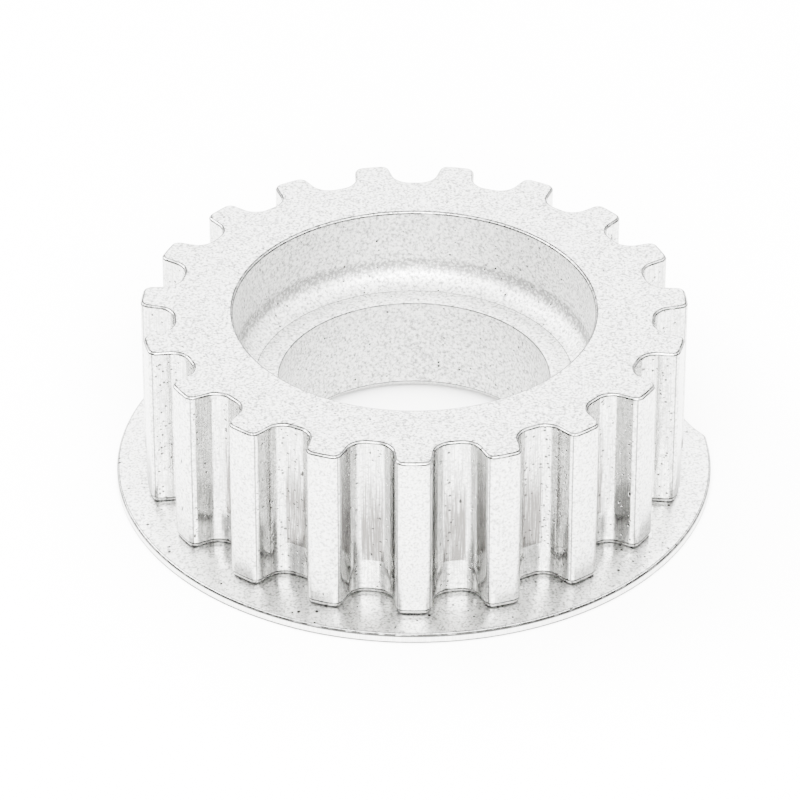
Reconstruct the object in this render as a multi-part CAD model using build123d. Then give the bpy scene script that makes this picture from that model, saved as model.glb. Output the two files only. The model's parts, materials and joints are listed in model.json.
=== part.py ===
from build123d import *
from math import atan2, cos, degrees, hypot, pi, radians, tan
import os

# A timing belt pulley with one guide flange, in millimetres.
# The bore's axis is Z, the flange's rim stands on z = 0, and the open face looks up along +Z.
# One tooth is centred on -Y.
# Two pieces: a sintered toothed hub, and a guide flange stamped from sheet, pressed on its spigot.

# Belt teeth
tooth_count = 19
belt_pitch = 9.525            # along the belt's pitch line
belt_line_offset = 0.686      # the pitch line runs this far outside the tooth tips
tooth_length = 18.3           # along the axis, from the guide flange to the open face
groove_depth = 3.46
groove_floor_width = 3.75     # between the two flank lines, before the root fillets
flank_angle = 17.2            # each flank from the groove's centre line, in degrees
root_fillet = 1.85
tip_round = 0.9
face_break = 0.2              # bevel around the teeth at the open face
foot_inset = 0.15             # steep bevel around the teeth at the guide flange
foot_rise = 0.45

# Hub
bore_radius = 14.0
bore_break = 1.0              # bevel at the bore's lower end
counterbore_radius = 18.55
counterbore_depth = 8.5
counterbore_break = 0.2       # bevel around its mouth
corner_width = 2.1            # curved corner between the counterbore's wall and its ledge
corner_radius = 2.6
keyway_width = 5.0
keyway_depth = 2.2            # beyond the bore's wall
keyway_angle = -90.0          # under the tooth on -Y
shoulder_width = 3.6          # the flange's seat, from the groove floors in to the spigot
stake_count = 6               # punch marks that lock the flange on the spigot
stake_radius = 0.9
stake_depth = 0.45
stake_inset = 1.3             # from the spigot's edge in to each mark's centre

# Guide flange
sheet = 1.05                  # thickness
flange_overhang = 2.8         # beyond the tooth tips
lip_inset = 1.1               # the lip starts to bend this far inside the tooth tips
lip_angle = 7.0               # down from flat, in degrees
bend_radius = 2.0             # inside the lip's bend
rim_roll = 0.25               # rounded upper edge that the punch leaves
press_clearance = 0.0         # the hole and the spigot touch
notch_angle = 17.4            # the rim's notch, from +X
notch_depth = 1.55
notch_radius = 10.4
notch_corner = 1.0

# Worked out from the sizes above
pitch_angle = 360.0 / tooth_count
tip_radius = tooth_count * belt_pitch / (2 * pi) - belt_line_offset
root_radius = tip_radius - groove_depth
spigot_radius = root_radius - shoulder_width
flange_radius = tip_radius + flange_overhang
lip_radius = tip_radius - lip_inset
lip_drop = (flange_radius - lip_radius) * tan(radians(lip_angle))
rim_height = sheet / cos(radians(lip_angle))
shoulder_z = lip_drop + rim_height
spigot_z = shoulder_z - sheet
top_z = shoulder_z + tooth_length
ledge_z = top_z - counterbore_depth
MARGIN = 1.0                  # how far a cutter runs past the faces that it cuts
STANDING = (Align.CENTER, Align.CENTER, Align.MIN)


def distance_out(point):
    """How far a point lies from the bore's axis."""
    return hypot(point.X, point.Y)


def groove_outline():
    """One belt groove along +X, with its flanks run on past the tooth tips."""
    half_floor = groove_floor_width / 2
    reach = groove_depth + MARGIN
    half_mouth = half_floor + reach * tan(radians(flank_angle))
    return make_face(Polyline(
        (root_radius, -half_floor),
        (root_radius, half_floor),
        (root_radius + reach, half_mouth),
        (root_radius + reach, -half_mouth),
        close=True,
    ))


def toothed_outline():
    """The hub's section through its teeth, with rounded tips and roots."""
    outline = Circle(tip_radius)
    for index in range(tooth_count):
        outline -= Rot(0, 0, -90 + (index + 0.5) * pitch_angle) * groove_outline()
    mid_flank = tip_radius - groove_depth / 2
    tips = [v for v in outline.vertices() if distance_out(v) > mid_flank]
    outline = fillet(tips, tip_round)
    near_floor = root_radius + groove_depth / 4
    roots = [v for v in outline.vertices() if distance_out(v) < near_floor]
    return fillet(roots, root_fillet)


def bore_section():
    """Half section of the space inside the hub: bore, ledge, curved corner and counterbore."""
    corner = min(corner_width, 0.6 * (counterbore_radius - bore_radius))
    curve = max(corner_radius, corner)
    sweep = degrees(atan2((curve ** 2 - (curve - corner) ** 2) ** 0.5, curve - corner))
    wall_end = ledge_z + curve * Vector(0, 1).rotate(Axis.Z, sweep - 90).Y
    low = spigot_z - MARGIN
    high = top_z + MARGIN
    sides = Polyline(
        (counterbore_radius - corner, ledge_z),
        (bore_radius, ledge_z),
        (bore_radius, spigot_z + bore_break),
        (bore_radius + bore_break + MARGIN, low),
        (0, low),
        (0, high),
        (counterbore_radius + counterbore_break + MARGIN, high),
        (counterbore_radius, top_z - counterbore_break),
        (counterbore_radius, wall_end),
    )
    centre = (counterbore_radius - curve, wall_end)
    curved_corner = CenterArc(centre, curve, 0, -sweep)
    return make_face(sides + curved_corner)


def keyway():
    """Cutter for the key's slot, from the spigot's end face up through the ledge."""
    height = ledge_z - spigot_z + 2 * MARGIN
    slot = Box(bore_radius + keyway_depth, keyway_width, height,
               align=(Align.MIN, Align.CENTER, Align.MIN))
    return Rot(0, 0, keyway_angle) * Pos(0, 0, spigot_z - MARGIN) * slot


def stake_marks():
    """Cutters for the conical punch marks around the spigot's end face."""
    mark = Pos(spigot_radius - stake_inset, 0, spigot_z)
    mark *= Cone(stake_radius, 0, stake_depth, align=STANDING)
    spacing = 360.0 / stake_count
    return [Rot(0, 0, keyway_angle + (n + 0.5) * spacing) * mark for n in range(stake_count)]


def toothed_hub():
    teeth = Pos(0, 0, shoulder_z) * extrude(toothed_outline(), tooth_length)
    hub = chamfer(teeth.faces().sort_by(Axis.Z)[-1].edges(), face_break)
    foot = hub.faces().sort_by(Axis.Z)[0]
    hub = chamfer(foot.edges(), foot_inset, foot_rise, reference=foot)
    hub += Pos(0, 0, spigot_z) * Cylinder(spigot_radius, sheet + MARGIN, align=STANDING)
    hub -= revolve(Plane.XZ * bore_section(), Axis.Z)
    hub -= keyway()
    hub -= stake_marks()
    return hub


def flange_section():
    """Half section of the sheet: flat on the hub's shoulder, its lip bent down and run on past the rim."""
    hole = spigot_radius + press_clearance
    under_lip = lip_radius - sheet * tan(radians(lip_angle / 2))
    overrun_drop = MARGIN * tan(radians(lip_angle))
    section = make_face(Polyline(
        (hole, shoulder_z),
        (lip_radius, shoulder_z),
        (flange_radius + MARGIN, rim_height - overrun_drop),
        (flange_radius + MARGIN, -overrun_drop),
        (under_lip, spigot_z),
        (hole, spigot_z),
        close=True,
    ))

    def corner_at(radius, height):
        return section.vertices().sort_by_distance((radius, height, 0))[0]

    section = fillet(corner_at(lip_radius, shoulder_z), bend_radius + sheet)
    return fillet(corner_at(under_lip, spigot_z), bend_radius)


def flange_blank():
    """The outline that the sheet is punched to: a disc with one shallow round notch."""
    notch_centre = flange_radius - notch_depth + notch_radius
    notch = Rot(0, 0, notch_angle) * Pos(notch_centre, 0) * Circle(notch_radius)
    blank = Circle(flange_radius) - notch
    notch_ends = blank.vertices().filter_by(lambda v: abs(v.Y) > MARGIN)
    return fillet(notch_ends, notch_corner)


def guide_flange():
    flange = revolve(Plane.XZ * flange_section(), Axis.Z)
    flange &= Pos(0, 0, -MARGIN) * extrude(flange_blank(), shoulder_z + 2 * MARGIN)
    rim_from = (lip_radius + flange_radius - notch_depth) / 2
    rim_edges = [
        edge for edge in flange.edges().filter_by(Axis.Z, reverse=True)
        if distance_out(edge @ 0.5) > rim_from and (edge @ 0.5).Z > rim_height / 2
    ]
    return fillet(rim_edges, rim_roll)


os.makedirs("parts", exist_ok=True)
export_step(toothed_hub(), "parts/toothed_hub.step")
export_step(guide_flange(), "parts/guide_flange.step")
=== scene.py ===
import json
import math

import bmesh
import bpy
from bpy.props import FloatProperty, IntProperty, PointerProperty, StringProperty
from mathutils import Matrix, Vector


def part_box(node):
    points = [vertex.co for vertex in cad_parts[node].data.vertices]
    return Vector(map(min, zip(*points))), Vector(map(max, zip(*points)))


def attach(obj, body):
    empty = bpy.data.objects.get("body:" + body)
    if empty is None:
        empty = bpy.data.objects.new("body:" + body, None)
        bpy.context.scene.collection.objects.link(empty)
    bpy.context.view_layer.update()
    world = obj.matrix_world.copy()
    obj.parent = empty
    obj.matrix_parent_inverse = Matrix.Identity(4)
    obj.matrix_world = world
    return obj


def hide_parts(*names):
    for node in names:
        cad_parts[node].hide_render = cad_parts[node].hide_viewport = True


bl_info = {
    "name": "Timing Belt Pulley",
    "version": (1, 0, 0),
    "blender": (4, 5, 0),
    "location": "3D Viewport > Sidebar > Pulley",
    "description": "Builds a flanged timing belt pulley around its CAD frame",
    "category": "Add Mesh",
}

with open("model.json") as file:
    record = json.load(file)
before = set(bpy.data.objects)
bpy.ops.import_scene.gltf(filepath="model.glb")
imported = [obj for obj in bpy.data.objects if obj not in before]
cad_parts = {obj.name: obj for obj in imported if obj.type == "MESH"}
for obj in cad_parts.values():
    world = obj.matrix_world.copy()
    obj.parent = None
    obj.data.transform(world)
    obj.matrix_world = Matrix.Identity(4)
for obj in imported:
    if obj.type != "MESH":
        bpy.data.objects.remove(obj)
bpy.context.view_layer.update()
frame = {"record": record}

# Everything is in metres. The bore's axis is Z and one tooth is centred on -Y.
MM = 0.001
TURN = 2 * math.pi
UP = Vector((0, 0, 1))
MERGE = 1e-7                    # vertices nearer than this are one vertex
BEND = 0.35 * MM                # the lip's bend is spread this far to each side
LIP_REACH = 1.5                 # the raised lip of a punch mark ends this many radii out
# the hub's last slot holds the painted shade lines on the rounded edges
PRESSED, DRAWN, CORED, SHADED_EDGE = range(4)    # the hub's material slots
# the flange's last slot holds painted shade lines at the rolled edge
SHEET, SHEARED, ROLL_SHADE = range(3)              # the flange's material slots
mounts = {mount["name"]: mount for mount in frame["record"]["mounts"]}
hub_low, hub_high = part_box("toothed_hub")
flange_low, flange_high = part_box("guide_flange")
bore = mounts["bore"]["dims"]["r_mm"] * MM
counterbore = mounts["counterbore"]["dims"]["r_mm"] * MM
counterbore_wall = mounts["counterbore"]["dims"]["length_mm"] * MM
corner_top = mounts["counterbore"]["pos_m"][2] - counterbore_wall / 2
ledge_z = mounts["ledge"]["pos_m"][2]
top_z = hub_high.z              # the open face
spigot_z = hub_low.z            # the spigot's end face, flush with the sheet's underside
shoulder_z = flange_high.z      # where the hub sits on the flange
tip_radius = -hub_low.y
rim_radius = flange_high.x


def length(name, description, millimetres):
    return FloatProperty(name=name, description=description, default=millimetres * MM,
                         unit="LENGTH", precision=5, min=0)


def angle(name, description, degrees):
    return FloatProperty(name=name, description=description, default=math.radians(degrees),
                         unit="ROTATION")


def linear(hex_colour):
    """An sRGB hex colour such as #C0C0C0 as linear red, green, blue and alpha."""
    parts = [int(hex_colour[i:i + 2], 16) / 255 for i in (1, 3, 5)]
    return [p / 12.92 if p <= 0.04045 else ((p + 0.055) / 1.055) ** 2.4 for p in parts] + [1.0]


def colour(name, description, hex_colour):
    return StringProperty(name=name, description=description, default=hex_colour)


class HubSettings(bpy.types.PropertyGroup):
    teeth: IntProperty(name="Teeth", description="Number of belt teeth", default=19, min=8)
    groove_depth: length("Groove depth", "From the tooth tips down to the groove floors", 3.46)
    floor_width: length("Floor width", "Groove floor between the flank lines", 3.75)
    flank: angle("Flank angle", "Each flank from the groove's centre line", 17.2)
    root_fillet: length("Root fillet", "Radius between flank and groove floor", 1.85)
    tip_round: length("Tip round", "Radius between flank and tooth tip", 0.9)
    face_break: length("Face bevel", "Bevel around the teeth at the open face", 0.2)
    foot_inset: length("Foot inset", "Bevel around the teeth's feet, measured inwards", 0.15)
    foot_rise: length("Foot rise", "Bevel around the teeth's feet, measured upwards", 0.45)
    bore_break: length("Bore bevel", "Bevel at the bore's lower end", 1.0)
    mouth_break: length("Mouth bevel", "Bevel around the counterbore's mouth", 0.2)
    corner_width: length("Corner width", "Curved corner between counterbore wall and ledge", 2.1)
    corner_radius: length("Corner radius", "Radius of the counterbore's curved corner", 2.6)
    key_width: length("Keyway width", "Width of the key's slot", 5.0)
    key_depth: length("Keyway depth", "Depth of the key's slot beyond the bore", 2.2)
    spigot: length("Spigot radius", "Outside of the spigot that holds the flange", 21.057)
    edge_softness: length("Edge softness", "Rounding that tumbling leaves on every edge", 0.09)
    stakes: IntProperty(name="Stake marks", description="Punch marks round the spigot", default=6)
    stake_radius: length("Stake radius", "Radius of one punch mark", 0.9)
    stake_depth: length("Stake depth", "Depth of one punch mark", 0.45)
    stake_inset: length("Stake inset", "From the spigot's edge in to the marks' centres", 1.3)


class FlangeSettings(bpy.types.PropertyGroup):
    sheet: length("Sheet", "Thickness of the sheet", 1.05)
    lip_inset: length("Lip inset", "The lip starts to bend this far inside the tooth tips", 1.1)
    lip_angle: angle("Lip angle", "How far the lip is bent down from flat", 7.0)
    roll: length("Rolled edge", "Rounded upper edge that the punch leaves", 0.25)
    burr: length("Burr side round", "Small round on the lower edge of the rim", 0.06)
    notch_angle: angle("Notch angle", "Where the rim's notch is, from +X", 17.4)
    notch_depth: length("Notch depth", "How far the notch cuts into the rim", 1.55)
    notch_radius: length("Notch radius", "Radius of the notch", 10.4)
    notch_blend: length("Notch blend", "Height over which rim and notch run together", 0.16)
    waviness: length("Waviness", "How far the pressed lip is out of flat", 0.03)


class FinishSettings(bpy.types.PropertyGroup):
    hub_steel: colour("Sintered steel", "Colour of the pressed hub", "#B4B4B2")
    wall_steel: colour("Drawn wall", "Colour where the die has burnished the hub", "#C0C0BE")
    # partly painted light: the cored steel's colour is set lighter than the other steel so that the shaded
    # inside of the counterbore and bore looks brighter
    cored: colour("Cored steel", "Colour inside the counterbore and the bore", "#D2D2D0")
    pore: colour("Pore", "Colour in the pores of the sintered steel", "#262524")
    # colour of the darker streaks on the groove floors above a gap over the flange
    streak_tone: colour("Residue", "Dark film of oil and dust rubbed into the grooves by the belt", "#504E4C")
    # painted shade: this dark colour is painted as lines along edges, at the teeth's feet and along the
    # flange's rim
    edge: colour("Edge film", "Dark oxide film left along the edges", "#1C1C1B")
    flange_steel: colour("Sheet steel", "Colour of the flange", "#BFBFBD")
    cut_steel: colour("Sheared edge", "Colour of the flange's punched rim", "#C8C8C6")
    # height above the flange where the darker groove streaks begin
    streak_gap: length("Belt gap", "The belt's teeth rub the grooves from this far above the flange", 3.9)
    floor: colour("Floor", "Pale floor", "#F8F8F7")


class StageSettings(bpy.types.PropertyGroup):
    elevation: angle("Elevation", "Camera height above the horizon", 32.97)
    distance: length("Distance", "Camera to the middle of the open face", 567.5)
    lens: FloatProperty(name="Lens", description="Focal length on a 36 mm sensor", default=249.5)
    aim_left: length("Aim left", "The camera looks this far left of the axis", 1.45)
    aim_down: length("Aim down", "The camera looks this far below the open face", 11.35)
    ceiling: FloatProperty(name="Ceiling", description="Brightness of the room overhead", default=10.0)
    horizon: FloatProperty(name="Walls", description="Brightness of the room's walls", default=3.1)
    key: FloatProperty(name="Key", description="Brightness of the soft box on the left", default=28.0)
    back: FloatProperty(name="Back", description="Brightness of the soft box behind", default=10.0)
    fill: FloatProperty(name="Fill", description="Brightness of the soft box on the right", default=7.0)
    front: FloatProperty(name="Front", description="Brightness of the soft box in front", default=50.0)


# ---- mesh helpers ---------------------------------------------------------------------------

def settings(name):
    """One of the groups of sizes, colours and lights that the sidebar lists."""
    return getattr(bpy.context.scene, name)


def azimuth(vertex):
    """Angle round the axis, counted from the middle of the tooth on -Y."""
    return (math.atan2(vertex.co.y, vertex.co.x) + math.pi / 2) % TURN


def polar(radius, turn, z=0.0):
    """A point at this radius and this azimuth from -Y."""
    return Vector((radius * math.sin(turn), -radius * math.cos(turn), z))


def finish_piece(bm, name, node, materials):
    """Makes the object from the bmesh and ties it to the frame."""
    mesh = bpy.data.meshes.new(name)
    bm.to_mesh(mesh)
    bm.free()
    piece = bpy.data.objects.new(name, mesh)
    bpy.context.collection.objects.link(piece)
    for material in materials:
        mesh.materials.append(material)
    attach(piece, "root")
    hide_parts(node)
    return piece


def extend(bm, vertex, place):
    """Draws an edge from a vertex to a new point and returns the new vertex."""
    made = bmesh.ops.extrude_vert_indiv(bm, verts=[vertex])
    made["verts"][0].co = place
    return made["verts"][0]


def grow(bm, edges, place):
    """Extrudes a closed loop of edges and puts each new vertex where place says. Returns the new edges."""
    made = bmesh.ops.extrude_edge_only(bm, edges=edges)["geom"]
    for vertex in [g for g in made if isinstance(g, bmesh.types.BMVert)]:
        vertex.co = place(vertex)
    return [g for g in made if isinstance(g, bmesh.types.BMEdge)]


def ring(radius, z):
    """Placing rule: every vertex keeps its azimuth and goes to this radius and height."""
    return lambda vertex: polar(radius, azimuth(vertex), z)


def even_ring(edges, radius, z):
    """Placing rule: the loop's vertices are spread evenly round a circle, starting at -Y."""
    vertices = sorted({v for e in edges for v in e.verts}, key=azimuth)
    step = TURN / len(vertices)
    place = {azimuth_key(v): polar(radius, index * step, z) for index, v in enumerate(vertices)}
    return lambda vertex: place[azimuth_key(vertex)]


def azimuth_key(vertex):
    """The azimuth rounded, so that a vertex drawn from another one is found by it."""
    return round(azimuth(vertex), 7) % round(TURN, 7)


# ---- hub --------------------------------------------------------------------------------------

def flank_corners(hub):
    """The root corner, the tip corner and the groove's middle, on the +X side of the -Y tooth."""
    half_pitch = math.pi / hub.teeth
    root = tip_radius - hub.groove_depth
    out = polar(1, half_pitch)
    across = polar(1, half_pitch - math.pi / 2)
    half_floor = hub.floor_width / 2
    slope = math.tan(hub.flank)
    # the flank line meets the tip circle this far out from the groove floor
    a = 1 + slope ** 2
    b = 2 * (root + half_floor * slope)
    c = root ** 2 + half_floor ** 2 - tip_radius ** 2
    rise = (-b + math.sqrt(b * b - 4 * a * c)) / (2 * a)
    tip = out * (root + rise) + across * (half_floor + rise * slope)
    return out * root + across * half_floor, tip, out * root


def tooth_wall(bm, hub):
    """The walls of all the teeth, from the shoulder up to the open face."""
    root_corner, tip_corner, floor_middle = flank_corners(hub)
    lift = UP * shoulder_z
    crown = bm.verts.new(polar(tip_radius, 0, shoulder_z))
    tip = extend(bm, crown, tip_corner + lift)
    root = extend(bm, tip, root_corner + lift)
    extend(bm, root, floor_middle + lift)
    bmesh.ops.mirror(bm, geom=bm.verts[:] + bm.edges[:], matrix=Matrix(), merge_dist=MERGE, axis="X")
    made = bmesh.ops.extrude_edge_only(bm, edges=bm.edges[:])["geom"]
    raised = [g for g in made if isinstance(g, bmesh.types.BMVert)]
    bmesh.ops.translate(bm, verts=raised, vec=UP * (top_z - shoulder_z))

    turn_at_root = math.pi / 2 - hub.flank
    lean = math.pi / hub.teeth - math.atan2(tip_corner.x, -tip_corner.y)
    turn_at_tip = turn_at_root + lean
    round_edges(bm, tip_corner, hub.tip_round * math.tan(turn_at_tip / 2), 6)
    round_edges(bm, root_corner, hub.root_fillet * math.tan(turn_at_root / 2), 9)

    pitch = TURN / hub.teeth
    bmesh.ops.spin(bm, geom=bm.verts[:] + bm.edges[:] + bm.faces[:], cent=(0, 0, 0), axis=UP,
                   angle=pitch * (hub.teeth - 1), steps=hub.teeth - 1, use_duplicate=True)
    bmesh.ops.remove_doubles(bm, verts=bm.verts[:], dist=MERGE)


def round_edges(bm, corner, offset, segments):
    """Rounds the upright edges at a corner and at its mirror image across the tooth."""
    def at_corner(v):
        return abs(abs(v.co.x) - abs(corner.x)) < MERGE and abs(v.co.y - corner.y) < MERGE
    upright = [e for e in bm.edges if all(at_corner(v) for v in e.verts)]
    bmesh.ops.bevel(bm, geom=upright, offset=offset, offset_type="OFFSET", affect="EDGES",
                    segments=segments, profile=0.5, material=-1)


def bevelled_end(bm, z, inset, rise):
    """Closes one end of the toothed wall, bevels its edge and returns the flat face's loop."""
    edges = [e for e in bm.edges if all(abs(v.co.z - z) < MERGE for v in e.verts)]
    cap = bmesh.ops.contextual_create(bm, geom=edges)["faces"][0]
    bmesh.ops.inset_region(bm, faces=[cap], thickness=inset, use_even_offset=True, use_boundary=True)
    rim = set(cap.verts)
    wall = [v for v in bm.verts if abs(v.co.z - z) < MERGE and v not in rim]
    bmesh.ops.translate(bm, verts=wall, vec=UP * rise)
    inner = list(cap.edges)
    bmesh.ops.delete(bm, geom=[cap], context="FACES_ONLY")
    return inner


def even_out(bm, hub, edges, z):
    """Draws the toothed outline in to a circle, then to a smaller one with evenly spread vertices."""
    root = tip_radius - hub.groove_depth
    first, second = 0.75 * MM, 2.2 * MM
    edges = grow(bm, edges, ring(root - first, z))
    return grow(bm, edges, even_ring(edges, root - second, z))


def hub_interior(bm, hub, edges):
    """Open face, counterbore, curved corner, ledge, bore and spigot face, one ring after another."""
    edges = even_out(bm, hub, edges, top_z)
    rings = [
        (counterbore + hub.mouth_break, top_z),
        (counterbore, top_z - hub.mouth_break),
        (counterbore, corner_top),
    ]
    centre = counterbore - hub.corner_radius
    sweep = math.acos((hub.corner_radius - hub.corner_width) / hub.corner_radius)
    steps = 10
    for step in range(1, steps + 1):
        turn = sweep * step / steps
        rings.append((centre + hub.corner_radius * math.cos(turn),
                      corner_top - hub.corner_radius * math.sin(turn)))
    rings += [
        (bore, ledge_z),
        (bore, spigot_z + hub.bore_break),
        (bore + hub.bore_break, spigot_z),
    ]
    # rings close together where the punch marks and their lips go
    inner = hub.spigot - hub.stake_inset - (LIP_REACH + 0.1) * hub.stake_radius
    outer = hub.spigot - 0.12 * MM
    steps = 18
    rings += [(inner + (outer - inner) * step / steps, spigot_z) for step in range(steps + 1)]
    for radius, z in rings:
        edges = grow(bm, edges, ring(radius, z))
    return edges


def hub_exterior(bm, hub, edges):
    """Shoulder and spigot wall."""
    edges = even_out(bm, hub, edges, shoulder_z)
    edges = grow(bm, edges, ring(hub.spigot, shoulder_z))
    return grow(bm, edges, ring(hub.spigot, spigot_z))


def stake(bm, hub):
    """Punches the marks round the spigot: a cone with a raised lip of displaced metal."""
    face = [v for v in bm.verts if abs(v.co.z - spigot_z) < MERGE]
    lip_height = 0.09 * hub.stake_depth
    for index in range(hub.stakes):
        centre = polar(hub.spigot - hub.stake_inset, (index + 0.5) * TURN / hub.stakes, spigot_z)
        for vertex in face:
            away = (vertex.co.xy - centre.xy).length / hub.stake_radius
            if away < 1:
                vertex.co.z = spigot_z + hub.stake_depth * (1 - away)
            elif away < LIP_REACH:
                swell = math.sin(math.pi * (away - 1) / (LIP_REACH - 1)) ** 2
                vertex.co.z = spigot_z - lip_height * swell


def hub_mesh(hub):
    """The whole hub but for its keyway, as one closed shell."""
    bm = bmesh.new()
    tooth_wall(bm, hub)
    top = bevelled_end(bm, top_z, hub.face_break, -hub.face_break)
    foot = bevelled_end(bm, shoulder_z, hub.foot_inset, hub.foot_rise)
    inside = hub_interior(bm, hub, top)
    outside = hub_exterior(bm, hub, foot)
    bmesh.ops.bridge_loops(bm, edges=inside + outside)
    stake(bm, hub)
    bmesh.ops.recalc_face_normals(bm, faces=bm.faces[:])
    return bm


def share_hub_finishes(bm, hub):
    """Pressed steel on the flat ends, drawn steel on the teeth, cored steel inside the hub."""
    bm.normal_update()
    for face in bm.faces:
        centre = face.calc_center_median()
        radius = centre.xy.length
        if radius > hub.spigot + 0.1 * MM:
            upright = abs(face.normal.z) < 0.9
            face.material_index = DRAWN if upright else PRESSED
        elif radius < counterbore and centre.z > spigot_z + MERGE:
            face.material_index = CORED


def carve_keyway(piece, hub):
    """Cuts the key's slot through the bore, under the tooth on -Y."""
    bm = bmesh.new()
    bmesh.ops.create_cube(bm, size=1)
    deep = bore + hub.key_depth
    overshoot = MM
    low = spigot_z - overshoot
    high = ledge_z + overshoot
    bmesh.ops.scale(bm, verts=bm.verts[:], vec=(hub.key_width, deep, high - low))
    bmesh.ops.translate(bm, verts=bm.verts[:], vec=(0, -deep / 2, (low + high) / 2))
    mesh = bpy.data.meshes.new("key_cutter")
    bm.to_mesh(mesh)
    bm.free()
    cutter = bpy.data.objects.new("key_cutter", mesh)
    bpy.context.collection.objects.link(cutter)
    cut = piece.modifiers.new("Keyway", "BOOLEAN")
    cut.operation = "DIFFERENCE"
    cut.solver = "EXACT"
    cut.object = cutter
    evaluated = piece.evaluated_get(bpy.context.evaluated_depsgraph_get())
    carved = bpy.data.meshes.new_from_object(evaluated)
    piece.modifiers.clear()
    piece.data = carved
    bpy.data.objects.remove(cutter)


def mark_hard_edges(piece, hub):
    """Gives a bevel weight to the edges that tumbling rounds: not the keyway's or the punch marks'."""
    bm = bmesh.new()
    bm.from_mesh(piece.data)
    weight = bm.edges.layers.float.new("bevel_weight_edge")
    hard = math.radians(15)
    outer_corner, inner_corner = 1, 0.4
    for edge in bm.edges:
        middle = (edge.verts[0].co + edge.verts[1].co) / 2
        radius = middle.xy.length
        by_key = abs(middle.x) < hub.key_width and middle.y < 0 and radius < bore + hub.key_depth + MM
        punched = (middle.z < spigot_z + hub.stake_depth + MERGE
                   and bore + hub.bore_break + MERGE < radius < hub.spigot - 0.05 * MM)
        if edge.calc_face_angle(0) > hard and not by_key and not punched:
            edge[weight] = outer_corner if edge.is_convex else inner_corner
    bm.to_mesh(piece.data)
    bm.free()


def soften(piece, width, material):
    """Rounds every marked edge a little, as tumbling does, and keeps flat faces flat."""
    for polygon in piece.data.polygons:
        polygon.use_smooth = True
    bevel = piece.modifiers.new("Edge softness", "BEVEL")
    bevel.width = width
    bevel.segments = 2
    bevel.limit_method = "WEIGHT"
    bevel.use_clamp_overlap = False
    # the rounded faces take the slot with the painted shade lines
    bevel.material = material
    bevel.miter_outer = "MITER_ARC"
    normals = piece.modifiers.new("Flat faces", "WEIGHTED_NORMAL")
    normals.weight = 100
    normals.keep_sharp = True


class PULLEY_OT_toothed_hub(bpy.types.Operator):
    """Build the sintered hub with its belt teeth, counterbore, bore and spigot"""
    bl_idname = "pulley.toothed_hub"
    bl_label = "Toothed Hub"

    def execute(self, context):
        hub = settings("pulley_hub")
        bm = hub_mesh(hub)
        share_hub_finishes(bm, hub)
        piece = finish_piece(bm, "toothed_hub_steel", "toothed_hub",
                             [pressed_steel(), drawn_steel(), cored_steel(), painted_edge_shade()])
        carve_keyway(piece, hub)
        mark_hard_edges(piece, hub)
        soften(piece, hub.edge_softness, SHADED_EDGE)
        return {"FINISHED"}


# ---- flange -----------------------------------------------------------------------------------

def rim_at(flange, turn):
    """The blank's outer radius at this azimuth from -Y: the rim, with the notch run into it."""
    away = (turn - math.pi / 2 - flange.notch_angle + math.pi) % TURN - math.pi
    reach = rim_radius - flange.notch_depth + flange.notch_radius
    side = reach * math.sin(away)
    if math.cos(away) <= 0 or abs(side) >= flange.notch_radius:
        return rim_radius
    notch = reach * math.cos(away) - math.sqrt(flange.notch_radius ** 2 - side ** 2)
    # a smooth minimum of the two outlines rounds the notch's corners
    blend = flange.notch_blend
    mix = max(0.0, min(1.0, 0.5 + 0.5 * (rim_radius - notch) / blend))
    return rim_radius + (notch - rim_radius) * mix - blend * mix * (1 - mix)


def flange_blank(bm, hub, flange):
    """A flat washer punched from sheet: rolled upper edge, small burr below."""
    top, low = shoulder_z, shoulder_z - flange.sheet
    lip = tip_radius - flange.lip_inset
    # rings close together over the lip's bend and far apart elsewhere
    inner = [hub.spigot, hub.spigot + 0.6 * MM, lip - 2 * MM]
    curve = [lip + BEND * step / 3 * 1.2 for step in range(-3, 4)]
    outer = [lip + 1.2 * MM, lip + 2.2 * MM, rim_radius - 1.2 * MM, rim_radius - 0.6 * MM]
    radii = sorted(inner + curve + outer)
    profile = [(radius, top) for radius in radii + [rim_radius - flange.roll]]
    steps = 5
    for step in range(1, steps + 1):
        turn = math.pi / 2 * step / steps
        profile.append((rim_radius - flange.roll * (1 - math.sin(turn)),
                        top - flange.roll * (1 - math.cos(turn))))
    fracture = 0.35 * MM
    profile += [(rim_radius, low + fracture), (rim_radius, low + flange.burr)]
    profile += [(rim_radius - flange.burr, low)]
    profile += [(radius, low) for radius in reversed(radii)]
    first = bm.verts.new(polar(profile[0][0], 0, profile[0][1]))
    last = first
    for radius, z in profile[1:]:
        last = extend(bm, last, polar(radius, 0, z))
    bm.edges.new((last, first))
    around = 900
    bmesh.ops.spin(bm, geom=bm.edges[:], cent=(0, 0, 0), axis=UP, angle=TURN, steps=around,
                   use_merge=True)
    bmesh.ops.remove_doubles(bm, verts=bm.verts[:], dist=MERGE)


def cut_notch(bm, flange):
    """Draws the rim in along the notch. The metal up to just past the lip's bend stays where it is."""
    past_bend = 0.5 * MM
    fixed = tip_radius - flange.lip_inset + past_bend
    for vertex in bm.verts:
        radius = vertex.co.xy.length
        if radius <= fixed:
            continue
        turn = azimuth(vertex)
        cut = rim_radius - rim_at(flange, turn)
        if cut > 0:
            share = min(1.0, (radius - fixed) / (rim_radius - flange.roll - fixed))
            vertex.co = polar(radius - cut * share, turn, vertex.co.z)


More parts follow.
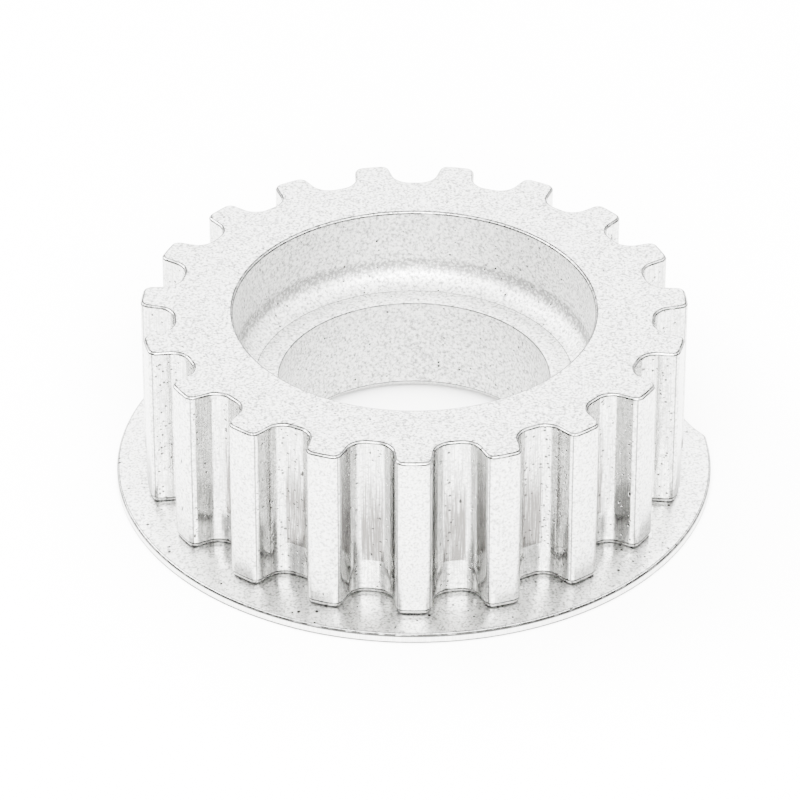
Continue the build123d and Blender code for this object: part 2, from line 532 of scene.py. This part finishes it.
def press_lip(bm, flange):
    """Bends the lip down and leaves it a little out of flat."""
    slope = math.tan(flange.lip_angle)
    lip = tip_radius - flange.lip_inset
    for vertex in bm.verts:
        radius = vertex.co.xy.length
        depth = shoulder_z - vertex.co.z
        start = lip - depth * math.tan(flange.lip_angle / 2)
        past = radius - start
        if past < -BEND:
            continue
        run = (past + BEND) ** 2 / (4 * BEND) if past < BEND else past
        turn = azimuth(vertex)
        # three waves and five waves round the rim, out of step with each other
        wave = 1 + 0.6 * math.sin(3 * turn + 0.7) + 0.4 * math.sin(5 * turn + 2.1)
        share = min(1.0, max(0.0, past / (rim_radius - lip)))
        vertex.co.z += flange.waviness * wave * share - slope * run


def share_flange_finishes(bm):
    """Sheet steel above and below, a sheared rim, and painted shade lines where the rolled edge begins
    and ends."""
    bm.normal_update()
    for face in bm.faces:
        tilt = face.normal.z
        roll_begins = 0.9 < tilt < 0.985
        roll_ends = 0.3 <= tilt < 0.75
        if abs(tilt) < 0.3:
            face.material_index = SHEARED
        elif roll_begins or roll_ends:
            face.material_index = ROLL_SHADE
        else:
            face.material_index = SHEET


class PULLEY_OT_guide_flange(bpy.types.Operator):
    """Build the guide flange: a punched washer with a notch in its rim and a lip bent down"""
    bl_idname = "pulley.guide_flange"
    bl_label = "Guide Flange"

    def execute(self, context):
        hub, flange = settings("pulley_hub"), settings("pulley_flange")
        bm = bmesh.new()
        flange_blank(bm, hub, flange)
        cut_notch(bm, flange)
        press_lip(bm, flange)
        bmesh.ops.recalc_face_normals(bm, faces=bm.faces[:])
        share_flange_finishes(bm)
        # painted shade lines on the rolled edge, in the hub's edge material
        film = bpy.data.materials.get("painted_edge_shade") or painted_edge_shade()
        piece = finish_piece(bm, "guide_flange_sheet", "guide_flange",
                             [rolled_sheet_steel(), sheared_steel(), film])
        for polygon in piece.data.polygons:
            polygon.use_smooth = True
        sharp = math.radians(40)
        piece.data.set_sharp_from_angle(angle=sharp)
        return {"FINISHED"}


# ---- finishes ---------------------------------------------------------------------------------

GRAIN = 0.26 * MM               # grain of the steel powder and of dust, drawn coarse so that it shows
COLOUR_A, COLOUR_B, MIXED_COLOUR = 6, 7, 2   # the Mix node's sockets when it mixes colours


def add(tree, kind, links=(), **values):
    """Adds a node. Values go to its settings or else its inputs. Links give an input another node's
    output, where a node stands for its first one, or a plain value."""
    node = tree.nodes.new("ShaderNode" + kind)
    for name, value in values.items():
        if hasattr(node, name):
            setattr(node, name, value)
        else:
            node.inputs[name.replace("_", " ")].default_value = value
    for socket, source in dict(links).items():
        if isinstance(source, bpy.types.Node):
            source = source.outputs[0]
        if isinstance(source, bpy.types.NodeSocket):
            tree.links.new(source, node.inputs[socket])
        else:
            node.inputs[socket].default_value = source
    return node


def new_material(name):
    """An empty material, its nodes, and the place on the piece that its patterns follow."""
    material = bpy.data.materials.new(name)
    material.use_nodes = True
    tree = material.node_tree
    tree.nodes.clear()
    return material, tree, add(tree, "TexCoord").outputs["Object"]


def finish_with(tree, shader):
    """Makes this shader the one that the surface shows."""
    add(tree, "OutputMaterial", {0: shader})


def darker(hex_colour, share):
    """The colour with this share of its light taken away."""
    return [c * (1 - share) for c in linear(hex_colour)[:3]] + [1.0]


def coats(tree, shade, *films):
    """A colour under one film after another, each given as the mask that it fills and its colour."""
    for mask, film in films:
        mix = add(tree, "Mix", {"Factor": mask, COLOUR_A: shade, COLOUR_B: film}, data_type="RGBA")
        shade = mix.outputs[MIXED_COLOUR]
    return shade


def pore_mask(tree, place, spacing, widest):
    """Scattered round pores of many sizes: 1 inside a pore and 0 outside."""
    cells = add(tree, "TexVoronoi", {"Vector": place}, Scale=1 / spacing)
    size = add(tree, "MapRange", {"Value": cells.outputs["Color"]}, From_Min=0.5, From_Max=0.85,
               To_Max=widest / spacing / 2)
    inside = add(tree, "Math", {0: size, 1: cells.outputs["Distance"]}, operation="SUBTRACT")
    return add(tree, "MapRange", {"Value": inside}, From_Max=0.05)


def radius_from_axis(tree, place):
    """Distance from the bore's axis."""
    flat = add(tree, "Mapping", {"Vector": place}, Scale=(1, 1, 0))
    return add(tree, "VectorMath", {0: flat}, operation="LENGTH").outputs["Value"]


def foot_shade_mask(tree, height, grain):
    """Painted shade at the teeth's feet, where they meet the flange, with a ragged upper edge."""
    ragged = add(tree, "Math", {0: grain, 1: 0.2 * MM, 2: height}, operation="MULTIPLY_ADD")
    edge = shoulder_z + 0.18 * MM
    return add(tree, "MapRange", {"Value": ragged}, From_Min=edge - 0.04 * MM,
               From_Max=edge + 0.04 * MM, To_Min=0.9, To_Max=0)


def tip_shade_line_mask(tree, radius):
    """Painted shade: a thin dark line where the teeth's tips begin to round off."""
    middle = tip_radius - 0.28 * MM
    core, edge = 0.03 * MM, 0.07 * MM
    begins = add(tree, "MapRange", {"Value": radius}, From_Min=middle - edge, From_Max=middle - core)
    ends = add(tree, "MapRange", {"Value": radius}, From_Min=middle + core, From_Max=middle + edge,
               To_Min=0.75, To_Max=0)
    return add(tree, "Math", {0: begins, 1: ends}, operation="MULTIPLY")


def groove_streak_mask(tree, height, radius, lines):
    """Darker streaks on the groove floors: from a gap above the flange, fading
    upwards."""
    root = tip_radius - settings("pulley_hub").groove_depth
    clear = shoulder_z + settings("pulley_finish").streak_gap
    floors = add(tree, "MapRange", {"Value": radius}, From_Min=root + 0.1 * MM,
                 From_Max=root + 0.25 * MM, To_Min=1, To_Max=0)
    above = add(tree, "MapRange", {"Value": height}, From_Min=clear - 0.06 * MM,
                From_Max=clear + 0.06 * MM)
    fading = add(tree, "MapRange", {"Value": height}, From_Min=clear + 5 * MM,
                 From_Max=top_z - 2 * MM, To_Min=1, To_Max=0.25)
    # darker streaks on the groove floors above the gap
    rubbed = add(tree, "Math", {0: floors, 1: above}, operation="MULTIPLY")
    faded = add(tree, "Math", {0: rubbed, 1: fading}, operation="MULTIPLY")
    streaks = add(tree, "Math", {0: faded, 1: lines}, operation="MULTIPLY")
    return add(tree, "MapRange", {"Value": streaks}, From_Min=0.15, From_Max=0.5)


def pressed_steel():
    """Pressed and sintered steel: satin, with a fine even grain from the powder and scattered pores."""
    finish = settings("pulley_finish")
    material, tree, place = new_material("pressed_steel")
    grain = add(tree, "TexNoise", {"Vector": place}, Scale=1 / GRAIN, Detail=2.0, Roughness=0.6)
    cloud = add(tree, "TexNoise", {"Vector": place}, Scale=1 / (5 * MM), Detail=5.0, Roughness=0.65)
    speck = add(tree, "MapRange", {"Value": grain}, From_Min=0.42, From_Max=0.66)
    pore = pore_mask(tree, place, 0.6 * MM, 0.26 * MM)
    shade = coats(tree, linear(finish.hub_steel),
                  (cloud, darker(finish.hub_steel, 0.15)),
                  (speck, darker(finish.hub_steel, 0.8)),
                  (pore, linear(finish.pore)))
    rough = add(tree, "MapRange", {"Value": grain}, From_Min=0.3, From_Max=0.7, To_Min=0.32, To_Max=0.46)
    bump = add(tree, "Bump", {"Height": grain}, Strength=0.6, Distance=0.02 * MM)
    pit = add(tree, "Bump", {"Height": pore, "Normal": bump}, Strength=0.8, Distance=0.05 * MM,
              invert=True)
    finish_with(tree, add(tree, "BsdfPrincipled", {"Base Color": shade, "Roughness": rough, "Normal": pit},
                          Metallic=1.0))
    return material


def drawn_steel():
    """Sintered steel burnished by the die. The tooth tips keep an even grain. The grooves are glossier,
    with fine lines along the axis and darker streaks on their floors. Painted shade darkens the teeth's
    feet, and a painted shade line marks where the tips begin to round off."""
    finish = settings("pulley_finish")
    material, tree, place = new_material("drawn_steel")
    axial = add(tree, "Mapping", {"Vector": place}, Scale=(1, 1, 0.035))
    smeared = add(tree, "Mapping", {"Vector": place}, Scale=(1, 1, 0.5))
    lines = add(tree, "TexNoise", {"Vector": axial}, Scale=1 / (0.11 * MM), Detail=2.0, Roughness=0.6)
    grain = add(tree, "TexNoise", {"Vector": place}, Scale=1 / GRAIN, Detail=2.0, Roughness=0.6)
    cloud = add(tree, "TexNoise", {"Vector": smeared}, Scale=1 / (3 * MM), Detail=4.0, Roughness=0.6)
    height = add(tree, "SeparateXYZ", {"Vector": place}).outputs["Z"]
    radius = radius_from_axis(tree, place)
    inward = add(tree, "MapRange", {"Value": radius}, From_Min=tip_radius - 0.6 * MM,
                 From_Max=tip_radius - 0.2 * MM, To_Min=1, To_Max=0.25)
    scored = add(tree, "MapRange", {"Value": lines, "To Max": inward}, From_Min=0.38, From_Max=0.66)
    speck = add(tree, "MapRange", {"Value": grain}, From_Min=0.43, From_Max=0.67)
    on_flanks = add(tree, "MapRange", {"Value": radius}, From_Min=tip_radius - 0.5 * MM,
                    From_Max=tip_radius - 0.3 * MM, To_Min=0.9, To_Max=0.1)
    pits = add(tree, "Math", {0: pore_mask(tree, place, 0.4 * MM, 0.3 * MM), 1: on_flanks},
               operation="MULTIPLY")
    pore = add(tree, "Math", {0: pits, 1: pore_mask(tree, smeared, 1.1 * MM, 0.34 * MM)},
               operation="MAXIMUM")
    shade = coats(tree, linear(finish.wall_steel),
                  (cloud, darker(finish.wall_steel, 0.1)),
                  (speck, darker(finish.wall_steel, 0.65)),
                  (scored, darker(finish.wall_steel, 0.55)),
                  # painted shade at the teeth's feet
                  (foot_shade_mask(tree, height, grain), linear(finish.edge)),
                  # painted shade line where the tips begin to round off
                  (tip_shade_line_mask(tree, radius), linear(finish.edge)),
                  (groove_streak_mask(tree, height, radius, lines), linear(finish.streak_tone)),
                  (pore, linear(finish.pore)))
    rough = add(tree, "MapRange", {"Value": inward}, From_Min=0.25, From_Max=1, To_Min=0.28, To_Max=0.13)
    bump = add(tree, "Bump", {"Height": scored}, Strength=0.3, Distance=0.004 * MM)
    raised = add(tree, "Bump", {"Height": grain, "Normal": bump}, Strength=0.4, Distance=0.015 * MM)
    pit = add(tree, "Bump", {"Height": pore, "Normal": raised}, Strength=0.7, Distance=0.05 * MM,
              invert=True)
    finish_with(tree, add(tree, "BsdfPrincipled", {"Base Color": shade, "Roughness": rough, "Normal": pit},
                          Metallic=1.0))
    return material


def cored_steel():
    """Sintered steel shaped by the core rod: the coarsest grain, open pores, a dull satin, and painted
    shade in a band at the top of the counterbore's curved corner. Its colour is set lighter, as painted
    light against the shade inside the hub."""
    finish = settings("pulley_finish")
    material, tree, place = new_material("cored_steel")
    grain = add(tree, "TexNoise", {"Vector": place}, Scale=1 / (0.3 * MM), Detail=3.0, Roughness=0.65)
    cloud = add(tree, "TexNoise", {"Vector": place}, Scale=1 / (4 * MM), Detail=5.0, Roughness=0.65)
    speck = add(tree, "MapRange", {"Value": grain}, From_Min=0.42, From_Max=0.66)
    pore = pore_mask(tree, place, 0.55 * MM, 0.28 * MM)
    height = add(tree, "SeparateXYZ", {"Vector": place}).outputs["Z"]
    # painted shade: the band below, named scale, darkens the top of the curved corner
    begins = add(tree, "MapRange", {"Value": height}, From_Min=corner_top - 1.5 * MM,
                 From_Max=corner_top - 0.9 * MM)
    ends = add(tree, "MapRange", {"Value": height}, From_Min=corner_top - 0.1 * MM,
               From_Max=corner_top + 0.4 * MM, To_Min=1, To_Max=0)
    band = add(tree, "Math", {0: begins, 1: ends}, operation="MULTIPLY")
    patchy = add(tree, "MapRange", {"Value": grain}, From_Min=0.36, From_Max=0.54, To_Min=0.25,
                 To_Max=0.95)
    scale = add(tree, "Math", {0: band, 1: patchy}, operation="MULTIPLY")
    # a colour lightened as painted light for the shaded inside of the hub
    shade = coats(tree, linear(finish.cored),
                  (cloud, darker(finish.cored, 0.2)),
                  (speck, darker(finish.cored, 0.75)),
                  # painted shade in the band at the top of the curved corner
                  (scale, darker(finish.cored, 0.75)),
                  (pore, linear(finish.pore)))
    rough = add(tree, "MapRange", {"Value": grain}, From_Min=0.3, From_Max=0.7, To_Min=0.48, To_Max=0.62)
    bump = add(tree, "Bump", {"Height": grain}, Strength=0.8, Distance=0.025 * MM)
    pit = add(tree, "Bump", {"Height": pore, "Normal": bump}, Strength=0.8, Distance=0.06 * MM,
              invert=True)
    finish_with(tree, add(tree, "BsdfPrincipled", {"Base Color": shade, "Roughness": rough, "Normal": pit},
                          Metallic=1.0))
    return material


def painted_edge_shade():
    """Painted shade along the tumbled and pressed edges: a thin dark line that outlines every face, broken
    in patches.
    """
    finish = settings("pulley_finish")
    material, tree, place = new_material("painted_edge_shade")
    patches = add(tree, "TexNoise", {"Vector": place}, Scale=1 / (0.8 * MM), Detail=3.0)
    # painted shade line, broken in patches where the steel's own colour shows through
    line_gaps = add(tree, "MapRange", {"Value": patches}, From_Min=0.5, From_Max=0.75, To_Max=0.3)
    shade = coats(tree, linear(finish.edge), (line_gaps, linear(finish.wall_steel)))
    finish_with(tree, add(tree, "BsdfPrincipled", {"Base Color": shade}, Metallic=1.0, Roughness=0.35))
    return material


def rolled_sheet_steel():
    """Cold-rolled sheet: smooth and a little cloudy, with faint rolling lines, dust and specks."""
    finish = settings("pulley_finish")
    material, tree, place = new_material("rolled_sheet_steel")
    along = add(tree, "Mapping", {"Vector": place}, Scale=(0.06, 1, 1))
    lines = add(tree, "TexNoise", {"Vector": along}, Scale=1 / (0.18 * MM), Detail=3.0)
    cloud = add(tree, "TexNoise", {"Vector": place}, Scale=1 / (3 * MM), Detail=5.0, Roughness=0.65)
    grain = add(tree, "TexNoise", {"Vector": place}, Scale=1 / GRAIN, Detail=2.0)
    scored = add(tree, "MapRange", {"Value": lines}, From_Min=0.35, From_Max=0.65, To_Max=0.25)
    dust = add(tree, "MapRange", {"Value": grain}, From_Min=0.44, From_Max=0.66)
    speck = pore_mask(tree, place, 0.8 * MM, 0.4 * MM)
    shade = coats(tree, linear(finish.flange_steel),
                  (cloud, darker(finish.flange_steel, 0.22)),
                  (scored, darker(finish.flange_steel, 0.4)),
                  (dust, darker(finish.flange_steel, 0.7)),
                  (speck, linear(finish.pore)))
    rough = add(tree, "MapRange", {"Value": cloud}, From_Min=0.3, From_Max=0.7, To_Min=0.26, To_Max=0.4)
    bump = add(tree, "Bump", {"Height": lines}, Strength=0.2, Distance=0.006 * MM)
    raised = add(tree, "Bump", {"Height": grain, "Normal": bump}, Strength=0.25, Distance=0.012 * MM)
    finish_with(tree, add(tree, "BsdfPrincipled", {"Base Color": shade, "Roughness": rough,
                                                   "Normal": raised}, Metallic=1.0))
    return material


def sheared_steel():
    """The punched rim: bright upright tear lines where the sheet was cut, between a painted shade line
    below the rolled edge and another at the burr."""
    finish, flange = settings("pulley_finish"), settings("pulley_flange")
    material, tree, place = new_material("sheared_steel")
    upright = add(tree, "Mapping", {"Vector": place}, Scale=(1, 1, 0.05))
    lines = add(tree, "TexNoise", {"Vector": upright}, Scale=1 / (0.14 * MM), Detail=2.0)
    scored = add(tree, "MapRange", {"Value": lines}, From_Min=0.35, From_Max=0.65, To_Max=0.5)
    height = add(tree, "SeparateXYZ", {"Vector": place}).outputs["Z"]
    roll_end = flange_low.z + flange.sheet / math.cos(flange.lip_angle) - flange.roll
    # painted shade: a dark line just below the rolled edge
    roll_shade_line = add(tree, "MapRange", {"Value": height}, From_Min=roll_end - 0.04 * MM,
                  From_Max=roll_end - 0.02 * MM, To_Max=0.95)
    # painted shade: a dark line at the burr
    burr_top = flange_low.z + 0.2 * MM
    burr = add(tree, "MapRange", {"Value": height}, From_Min=burr_top, From_Max=burr_top + 0.06 * MM,
               To_Min=0.97, To_Max=0)
    rim_shade_lines = add(tree, "Math", {0: roll_shade_line, 1: burr}, operation="MAXIMUM")
    shade = coats(tree, linear(finish.cut_steel),
                  (scored, darker(finish.cut_steel, 0.45)),
                  (rim_shade_lines, linear(finish.edge)))
    bump = add(tree, "Bump", {"Height": lines}, Strength=0.5, Distance=0.015 * MM)
    finish_with(tree, add(tree, "BsdfPrincipled", {"Base Color": shade, "Normal": bump}, Metallic=1.0,
                          Roughness=0.3))
    return material


def white_board():
    """Matt painted board: pale and without gloss, with a faint fibre."""
    finish = settings("pulley_finish")
    material, tree, place = new_material("matt_white_board")
    fibre = add(tree, "TexNoise", {"Vector": place}, Scale=1 / (1.5 * MM), Detail=3.0)
    bump = add(tree, "Bump", {"Height": fibre}, Strength=0.02, Distance=0.02 * MM)
    finish_with(tree, add(tree, "BsdfPrincipled", {"Normal": bump}, Roughness=0.7,
                          Base_Color=linear(finish.floor)))
    return material


# ---- stage ------------------------------------------------------------------------------------

def soft_box(name, brightness, turn, elevation, size):
    """A square soft box a metre from the part. Its turn is counted from straight in front, to the
    right, and both angles are in degrees."""
    turn, elevation = math.radians(turn), math.radians(elevation)
    data = bpy.data.lights.new(name, "AREA")
    data.shape = "SQUARE"
    data.size = size
    data.energy = brightness * math.pi * size ** 2
    light = bpy.data.objects.new(name, data)
    away = Vector((math.cos(elevation) * math.sin(turn), -math.cos(elevation) * math.cos(turn),
                   math.sin(elevation)))
    light.location = away
    light.rotation_euler = (-away).to_track_quat("-Z", "Y").to_euler()
    bpy.context.collection.objects.link(light)


class PULLEY_OT_stage(bpy.types.Operator):
    """Add the pale floor, the soft studio light and the camera"""
    bl_idname = "pulley.stage"
    bl_label = "Stage"

    def execute(self, context):
        stage = settings("pulley_stage")
        bm = bmesh.new()
        half_width = 2.0
        bmesh.ops.create_grid(bm, x_segments=1, y_segments=1, size=half_width)
        mesh = bpy.data.meshes.new("floor")
        bm.to_mesh(mesh)
        bm.free()
        floor = bpy.data.objects.new("floor", mesh)
        context.collection.objects.link(floor)
        mesh.materials.append(white_board())

        soft_box("key", stage.key, turn=-105, elevation=32, size=0.7)
        soft_box("back", stage.back, turn=180, elevation=38, size=1.2)
        soft_box("fill", stage.fill, turn=75, elevation=35, size=0.8)
        soft_box("front", stage.front, turn=0, elevation=33, size=0.9)

        world = bpy.data.worlds.new("studio")
        world.use_nodes = True
        tree = world.node_tree
        tree.nodes.clear()
        direction = add(tree, "SeparateXYZ", {"Vector": add(tree, "TexCoord").outputs["Generated"]})
        light = add(tree, "MapRange", {"Value": direction.outputs["Z"]}, From_Min=0.2, From_Max=0.9,
                    To_Min=stage.horizon, To_Max=stage.ceiling)
        sky = add(tree, "Background", {"Strength": light}, Color=linear("#FFFFFF"))
        add(tree, "OutputWorld", {0: sky})
        context.scene.world = world

        face = Vector((0, 0, top_z))
        back = Vector((0, -math.cos(stage.elevation), math.sin(stage.elevation)))
        data = bpy.data.cameras.new("camera")
        data.sensor_width = 36
        data.lens = stage.lens
        data.clip_start = 0.05
        camera = bpy.data.objects.new("camera", data)
        camera.location = face + back * stage.distance
        aim = face - UP * stage.aim_down - Vector((stage.aim_left, 0, 0))
        camera.rotation_euler = (aim - camera.location).to_track_quat("-Z", "Y").to_euler()
        context.collection.objects.link(camera)
        context.scene.camera = camera
        return {"FINISHED"}


class PULLEY_PT_sidebar(bpy.types.Panel):
    """Lists the sizes, colours and lights with the operators that use them"""
    bl_label = "Timing Belt Pulley"
    bl_idname = "PULLEY_PT_sidebar"
    bl_space_type = "VIEW_3D"
    bl_region_type = "UI"
    bl_category = "Pulley"

    def draw(self, context):
        for title, name, operator in SECTIONS:
            box = self.layout.box()
            box.label(text=title)
            group = getattr(context.scene, name)
            for field in group.__annotations__:
                box.prop(group, field)
            if operator:
                box.operator(operator)


SECTIONS = (
    ("Hub", "pulley_hub", "pulley.toothed_hub"),
    ("Flange", "pulley_flange", "pulley.guide_flange"),
    ("Finishes", "pulley_finish", None),
    ("Stage", "pulley_stage", "pulley.stage"),
)
GROUPS = {
    "pulley_hub": HubSettings,
    "pulley_flange": FlangeSettings,
    "pulley_finish": FinishSettings,
    "pulley_stage": StageSettings,
}
CLASSES = (*GROUPS.values(), PULLEY_OT_toothed_hub, PULLEY_OT_guide_flange, PULLEY_OT_stage,
           PULLEY_PT_sidebar)


def register():
    for item in CLASSES:
        bpy.utils.register_class(item)
    for name, group in GROUPS.items():
        setattr(bpy.types.Scene, name, PointerProperty(type=group))


def unregister():
    for name in GROUPS:
        delattr(bpy.types.Scene, name)
    for item in reversed(CLASSES):
        bpy.utils.unregister_class(item)


def main():
    register()
    bpy.ops.pulley.stage()
    bpy.ops.pulley.toothed_hub()
    bpy.ops.pulley.guide_flange()


if __name__ == "__main__":
    main()
